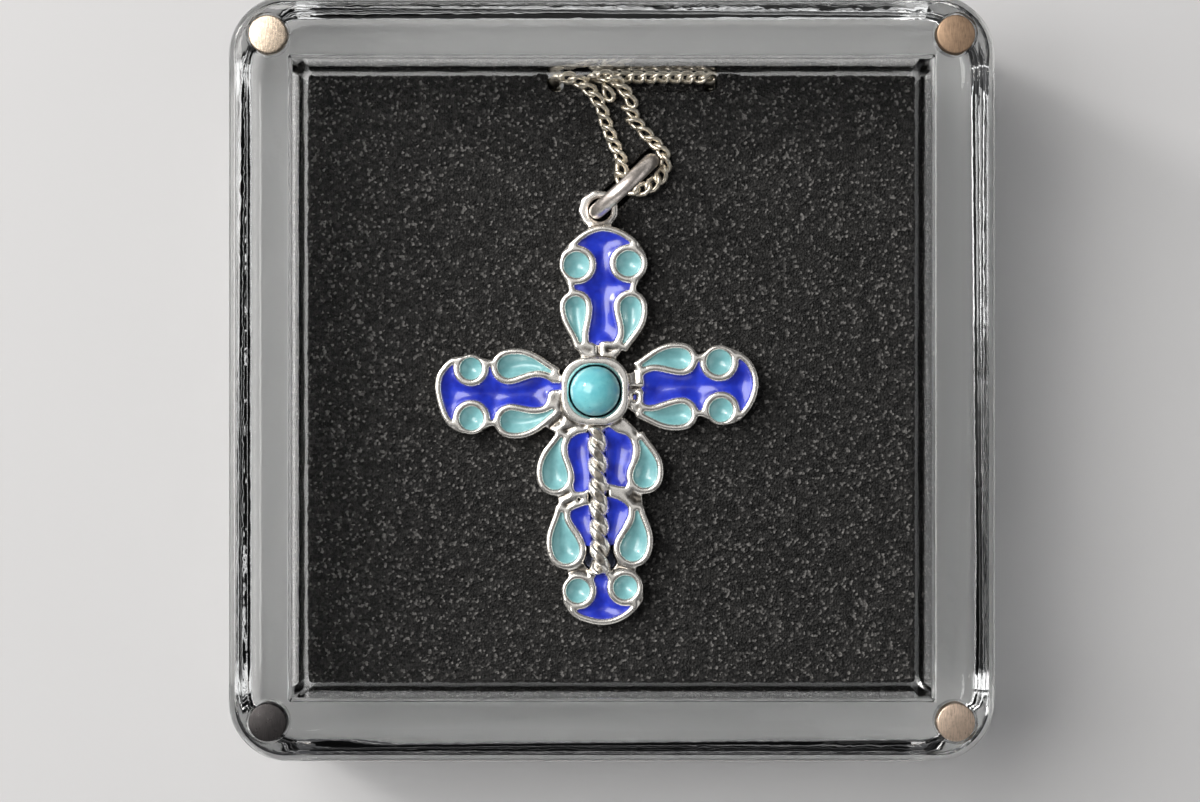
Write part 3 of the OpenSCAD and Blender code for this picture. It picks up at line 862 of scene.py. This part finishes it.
def even_steps(points, step):
    """Places along a smooth line through the points, one step apart, with the way faced there."""
    places = smooth_line([place_at for place_at, _ in points], ROUTE_PARTS)
    last = len(points) - 1
    dense = []
    for n, place_at in enumerate(places):
        passed, part = divmod(n, ROUTE_PARTS)
        facing = points[passed][1].lerp(points[min(passed + 1, last)][1], part / ROUTE_PARTS)
        dense.append((place_at, facing))
    steps, left = [dense[0]], step
    for (a, face_a), (b, face_b) in zip(dense, dense[1:]):
        length = (b - a).length
        walked = left
        while walked <= length:
            share = walked / length
            steps.append((a.lerp(b, share), face_a.lerp(face_b, share)))
            walked += step
        left = walked - length
    return steps


print("points of the route:", len(route()))

# %% Curb links
LINK_PITCH, LINK_WIRE, LINK_WIDTH = 1.0, 0.42, 1.26
LINK_TWIST = math.radians(-90)
LINK_ROLL, LINK_TURN = math.radians(42), math.radians(14)
# Each link starts as a torus of radius 1 whose wire has this radius
START_WIRE_R = 0.2
# No two links roll quite alike: the seed of the draws, and the most that a link rolls more or less
WOBBLE_SEED, WOBBLE = 7, 0.16
# In the jump ring the chain turns its other side up, within this many links of the lowest one
TURNS_OVER_AT, TURNS_OVER_WITHIN = Vector((2.1, 15.4, 10)), 3
# Where a few links are kinked: place seen from above, reach, extra roll and turn, and shift
KINK_AT, KINK_REACH = Vector((1.75, 21.3)), 1.3
KINK_ROLL, KINK_TURN, KINK_SHIFT = math.radians(-16), math.radians(24), 0.2
ON_TOP = TOP_Z - 0.1
# A loose link that hangs beside the chain at the foam's edge
LOOSE_LINK_AT, LOOSE_LINK_WAY = Vector((-0.3, 23.2, TOP_Z)), Vector((0.25, -1, 0))


def one_link():
    bpy.ops.mesh.primitive_torus_add(
        major_radius=1, minor_radius=START_WIRE_R, major_segments=12, minor_segments=6
    )
    obj = bpy.context.object
    half_length, half_width = (LINK_PITCH + LINK_WIRE) / 2, (LINK_WIDTH - LINK_WIRE) / 2
    for vertex in obj.data.vertices:
        ring = Vector((vertex.co.x, vertex.co.y, 0))
        out = ring.normalized()
        middle = Vector((out.x * half_length, out.y * half_width, 0))
        normal = Vector((out.x / half_length, out.y / half_width, 0)).normalized()
        across = normal * ((ring.length - 1) / START_WIRE_R) * LINK_WIRE / 2
        upwards = UP * vertex.co.z / START_WIRE_R * LINK_WIRE / 2
        vertex.co = middle + across + upwards
        twist = Matrix.Rotation(LINK_TWIST / 2 * vertex.co.x / half_length, 3, "X")
        vertex.co = twist @ vertex.co
    bpy.ops.object.shade_smooth()
    return obj


def copied_link(pattern, at, way, facing, roll, turn):
    """A copy of the link at a place, rolled about the chain's way and turned aside from it."""
    side = facing.cross(way).normalized()
    along = Matrix((way, side, way.cross(side))).transposed().to_4x4()
    leaning = Matrix.Rotation(turn, 4, "Z") @ Matrix.Rotation(roll, 4, "X")
    link = pattern.copy()
    link.data = pattern.data.copy()
    link.data.transform(Matrix.Translation(at) @ along @ leaning)
    bpy.context.collection.objects.link(link)
    return link


def curb_chain():
    pattern = one_link()
    steps = even_steps(route(), LINK_PITCH)
    lowest = min(range(len(steps)), key=lambda n: (steps[n][0] - TURNS_OVER_AT).length)
    wobble = random.Random(WOBBLE_SEED)
    loose_way = LOOSE_LINK_WAY.normalized()
    links = [copied_link(pattern, LOOSE_LINK_AT, loose_way, UP, LINK_ROLL, LINK_TURN)]
    for n in range(1, len(steps) - 1):
        at, facing = steps[n]
        way = (steps[n + 1][0] - steps[n - 1][0]).normalized()
        side_up = max(-1, min(1, (lowest - n) / TURNS_OVER_WITHIN))
        roll = LINK_ROLL * side_up + wobble.uniform(-WOBBLE, WOBBLE)
        turn = LINK_TURN
        if (at.xy - KINK_AT).length < KINK_REACH and at.z > ON_TOP:
            roll += KINK_ROLL
            turn += KINK_TURN
            at = at - Vector((KINK_SHIFT, 0, 0))
        links.append(copied_link(pattern, at, way, facing, roll, turn))
    bpy.data.objects.remove(pattern)
    join(links[0], links[1:])
    print("links:", len(links))
    return links[0]


hand_over(curb_chain(), "curb_chain", chain_silver, "chain_silver", "chain")
NODES["clasp"].data.materials[0] = chain_silver

# %% [markdown]
# ## The clear box base
# Thick polished acrylic: a square block with rounded upright corners and a rounded foot, a square
# pocket and a small sloped lip. The block is a cube whose edges are bevelled. A second cube cuts the
# pocket and a short pyramid the lip, whose edges are rounded after the cut. The round foot and rims
# bend the view through each wall, which draws thin bright and dark lines along it.

# %% Box base
TRAY_W, TRAY_H, TRAY_CORNER, TRAY_FOOT, TRAY_EDGE = 60, 18, 4.7, 1.3, 0.7
CAVITY_W, FLOOR_T, LIP, LIP_EASE = 50, 2, 0.35, 0.14
MAGNET_D, MAGNET_T, MAGNET_INSET, BORE_GAP = 3, 2, 3.1, 0.2
MAGNET_OUT = TRAY_W / 2 - MAGNET_INSET
MAGNET_PLACES = {1: (-1, 1), 2: (1, 1), 3: (-1, -1), 4: (1, -1)}
# The bores are this much deeper than the magnets, and the pyramid that cuts the lip is this tall
BORE_DEEPER, LIP_CUTTER_H = 0.025, 1
# A corner that lies within this of a height or a wall counts as being on it
NEAR = 0.01


def round_edges(obj, choose, width, segments):
    """Rounds the edges whose two ends suit choose."""
    only(obj)
    bpy.ops.object.mode_set(mode="EDIT")
    bpy.ops.mesh.select_mode(type="EDGE")
    bpy.ops.mesh.select_all(action="DESELECT")
    close_edit()
    for edge in obj.data.edges:
        edge.select = choose(*(obj.data.vertices[i].co for i in edge.vertices))
    bpy.ops.object.mode_set(mode="EDIT")
    bpy.ops.mesh.bevel(offset=width, segments=segments)
    close_edit()


def on_lip(point):
    """True for the corners of the sloped lip round the pocket."""
    out = max(abs(point.x), abs(point.y))
    return point.z > TRAY_H - LIP - NEAR and out < CAVITY_W / 2 + LIP + NEAR


def box_base():
    bpy.ops.mesh.primitive_cube_add(size=1, location=(0, 0, TRAY_H / 2), scale=(TRAY_W, TRAY_W, TRAY_H))
    obj = place(bpy.context.object)
    round_edges(obj, lambda a, b: abs(a.z - b.z) > 1, TRAY_CORNER, 16)
    round_edges(obj, lambda a, b: max(a.z, b.z) < NEAR, TRAY_FOOT, 8)
    round_edges(obj, lambda a, b: min(a.z, b.z) > TRAY_H - NEAR, TRAY_EDGE, 5)
    pocket_h = TRAY_H - FLOOR_T
    bpy.ops.mesh.primitive_cube_add(
        size=1, location=(0, 0, FLOOR_T + pocket_h), scale=(CAVITY_W, CAVITY_W, 2 * pocket_h)
    )
    pocket = place(bpy.context.object)
    cutters = [pocket]
    # A pyramid with a flat top that cuts the lip at 45 degrees
    bpy.ops.mesh.primitive_cone_add(
        vertices=4, radius1=CAVITY_W / 2 * math.sqrt(2),
        radius2=(CAVITY_W / 2 + LIP_CUTTER_H) * math.sqrt(2), depth=LIP_CUTTER_H,
        location=(0, 0, TRAY_H - LIP + LIP_CUTTER_H / 2), rotation=(0, 0, math.pi / 4),
    )
    cutters.append(place(bpy.context.object))
    for x, y in MAGNET_PLACES.values():
        bpy.ops.mesh.primitive_cylinder_add(
            vertices=64, radius=MAGNET_D / 2 + BORE_GAP, depth=2 * (MAGNET_T + BORE_DEEPER),
            location=(x * MAGNET_OUT, y * MAGNET_OUT, TRAY_H),
        )
        cutters.append(place(bpy.context.object))
    for cutter in cutters:
        modify(obj, "BOOLEAN", object=cutter, operation="DIFFERENCE", solver="EXACT")
        bpy.data.objects.remove(cutter)
    round_edges(obj, lambda a, b: on_lip(a) and on_lip(b), LIP_EASE, 3)
    only(obj)
    bpy.ops.object.shade_smooth_by_angle(angle=math.radians(24))
    return obj


def clear_acrylic():
    material, tree, shader = new_material("clear_acrylic_finish")
    set_shader(
        shader, Base_Color=(0.985, 0.995, 0.99, 1), Roughness=0.015, IOR=1.49, Transmission_Weight=1.0
    )
    haze = noise(tree, millimetres(tree), scale=0.35, detail=3)
    bump(tree, shader, haze, 0.02)
    return material


hand_over(box_base(), "acrylic_base", clear_acrylic(), "clear_acrylic", "tray")

# %% [markdown]
# ## The magnets
# Four small discs, flush with the rim, nickel-plated. Each has its own colour, roughness and scratches.

# %% Magnets
MAGNET_EDGE = 0.12
# Each magnet's colour, its roughness and the turn of its scratches
MAGNET_LOOKS = {
    1: ((0.66, 0.54, 0.42), 0.25, 0.35),
    2: ((0.43, 0.29, 0.19), 0.42, 0.9),
    3: ((0.06, 0.055, 0.055), 0.3, 0.6),
    4: ((0.72, 0.56, 0.44), 0.34, 1.3),
}


def magnet_disc(number):
    x, y = MAGNET_PLACES[number]
    bpy.ops.mesh.primitive_cylinder_add(
        vertices=64, radius=MAGNET_D / 2, depth=MAGNET_T,
        location=(x * MAGNET_OUT, y * MAGNET_OUT, TRAY_H - MAGNET_T / 2),
    )
    obj = place(bpy.context.object)
    modify(obj, "BEVEL", width=MAGNET_EDGE, segments=3, limit_method="ANGLE", angle_limit=math.radians(60))
    bpy.ops.object.shade_smooth_by_angle(angle=math.radians(30))
    return obj


def magnet_finish(number):
    colour, rough, turn = MAGNET_LOOKS[number]
    material, tree, shader = new_material(f"magnet_{number}_finish")
    scratched_way = millimetres(tree, stretch=(14, 1.2, 4), turn=turn)
    brushed = noise(tree, scratched_way, scale=1, detail=4, roughness=0.7)
    scuffs = noise(tree, millimetres(tree), scale=2.2, detail=5, roughness=0.7)
    dark = tuple(c * 0.4 for c in colour)
    both = calculate(tree, "ADD", brushed, calculate(tree, "MULTIPLY", scuffs, 0.5))
    scuffed = blend_colours(tree, spread(tree, both, 0.48, 0.84), dark, colour)
    tree.links.new(scuffed, shader.inputs["Base Color"])
    set_shader(shader, Metallic=0.75)
    tree.links.new(spread(tree, scuffs, 0.3, 0.7, rough * 1.3, rough * 0.8), shader.inputs["Roughness"])
    bump(tree, shader, brushed, 0.015)
    return material


for number in MAGNET_PLACES:
    disc = magnet_disc(number)
    hand_over(disc, f"magnet_disc_{number}", magnet_finish(number), "nickel_magnet", f"magnet_{number}")

# %% [markdown]
# ## The foam
# Black foam is a sponge of tiny cells. Cut through, it shows a rough skin in which single cell walls
# glint. The block gets an even skin, a displacement makes it rough, and the finish adds the glints.

# %% Foam pad
FOAM_VOXEL = 0.25
# Foam that closes in on the chain where it goes down by the wall: middle x, width and top of each
FOAM_BRIDGES = [(1.85, 11.5, 8.55), (-5.6, 0.9, 9.5), (9.35, 1.5, 9.5)]
BRIDGE_Y, BRIDGE_DEPTH, BRIDGE_FOOT = 24.05, 1.7, 5
# Size, depth and level of the rough skin's grains. A level above one half moves the skin more
# inwards than outwards.
FOAM_GRAIN, FOAM_ROUGH, FOAM_LEVEL = 0.28, 0.3, 0.62
FOAM_BLACK, FOAM_GREY, FOAM_GLINT = (0.002, 0.002, 0.002), (0.034, 0.033, 0.032), (0.17, 0.165, 0.16)
FOAM_CELLS_TO_MM = 5


def foam_block():
    obj = measured_copy("foam_pad", "foam")
    bridges = []
    for x, width, top in FOAM_BRIDGES:
        bpy.ops.mesh.primitive_cube_add(
            size=1, location=(x, BRIDGE_Y, (top + BRIDGE_FOOT) / 2),
            scale=(width, BRIDGE_DEPTH, top - BRIDGE_FOOT),
        )
        bridges.append(place(bpy.context.object))
    join(obj, bridges)
    modify(obj, "REMESH", mode="VOXEL", voxel_size=FOAM_VOXEL, use_smooth_shade=True)
    clouded(obj, "foam_cells", FOAM_GRAIN, FOAM_ROUGH, FOAM_LEVEL, layers=1)
    bpy.ops.object.shade_smooth()
    return obj


def foam_finish():
    material, tree, shader = new_material("black_foam_finish")
    place_mm = millimetres(tree)
    cells = node(tree, "TexVoronoi")
    cells.inputs["Scale"].default_value = FOAM_CELLS_TO_MM
    tree.links.new(place_mm, cells.inputs["Vector"])
    shade = node(tree, "SeparateColor")
    tree.links.new(cells.outputs["Color"], shade.inputs["Color"])
    patches = noise(tree, place_mm, scale=1.6, detail=3, roughness=0.6)
    clusters = calculate(tree, "MULTIPLY", shade.outputs["Red"], patches)
    soft = blend_colours(tree, spread(tree, clusters, 0.1, 0.6), FOAM_BLACK, FOAM_GREY)
    # Painted glints: the brightest cells get a pale colour for light off single cell walls
    shining = spread(tree, shade.outputs["Green"], 0.84, 1.0)
    glints = blend_colours(tree, shining, soft, FOAM_GLINT)
    tree.links.new(glints, shader.inputs["Base Color"])
    set_shader(shader, Roughness=0.55, Specular_IOR_Level=0.3)
    grain = noise(tree, place_mm, scale=6, detail=4, roughness=0.7)
    height = calculate(tree, "ADD", cells.outputs["Distance"], calculate(tree, "MULTIPLY", grain, 0.6))
    bump(tree, shader, height, 0.16)
    return material


foam = hand_over(foam_block(), "foam_block", foam_finish(), "black_foam", "foam_pad")

# %% [markdown]
# ## Floor and light
# A pale floor, a large soft light from the upper left, and weaker ones round it whose edges draw
# bright lines in the acrylic and along the silver.

# %% Floor
# The floor is in metres, and lies this far below the box so that the two share no face
FLOOR_BELOW = 0.0002
bpy.ops.mesh.primitive_plane_add(size=3, location=(0, 0, -FLOOR_BELOW))
floor = bpy.context.object
floor.name = "floor"
floor_material, _, floor_shader = new_material("floor_finish")
set_shader(floor_shader, Base_Color=(0.62, 0.62, 0.63, 1), Roughness=0.7)
floor.data.materials.append(floor_material)

# %% Lights
def soft_light(name, at, width, height, power, colour=(1, 1, 1)):
    """A rectangular light at a place in metres that faces the box."""
    at = Vector(at)
    bpy.ops.object.light_add(type="AREA", location=at)
    light = bpy.context.object
    light.name = name
    light.rotation_euler = (-at).to_track_quat("-Z", "Y").to_euler()
    light.data.shape = "RECTANGLE"
    light.data.size = width
    light.data.size_y = height
    light.data.energy = power
    light.data.color = colour


soft_light("window", (-0.35, 0.16, 0.57), 0.55, 0.42, 4.5, (1, 0.98, 0.95))
soft_light("lamp", (-0.52, 0.31, 0.35), 0.12, 0.12, 1.7, (1, 0.97, 0.93))
soft_light("left_card", (-0.62, 0.2, 0.16), 0.4, 0.3, 0.6)
soft_light("right_card", (0.6, -0.05, 0.2), 0.5, 0.3, 0.4)
soft_light("front_card", (0.05, -0.6, 0.25), 0.6, 0.3, 0.5)
soft_light("overhead", (0.12, 0.1, 0.9), 0.4, 0.4, 0.24)
world = bpy.data.worlds.new("surroundings")
bpy.context.scene.world = world
world.use_nodes = True
world.node_tree.nodes["Background"].inputs["Color"].default_value = (0.5, 0.5, 0.52, 1)
world.node_tree.nodes["Background"].inputs["Strength"].default_value = 0.14
bpy.context.scene.view_settings.view_transform = "Standard"

# %% Done
print("scene built")
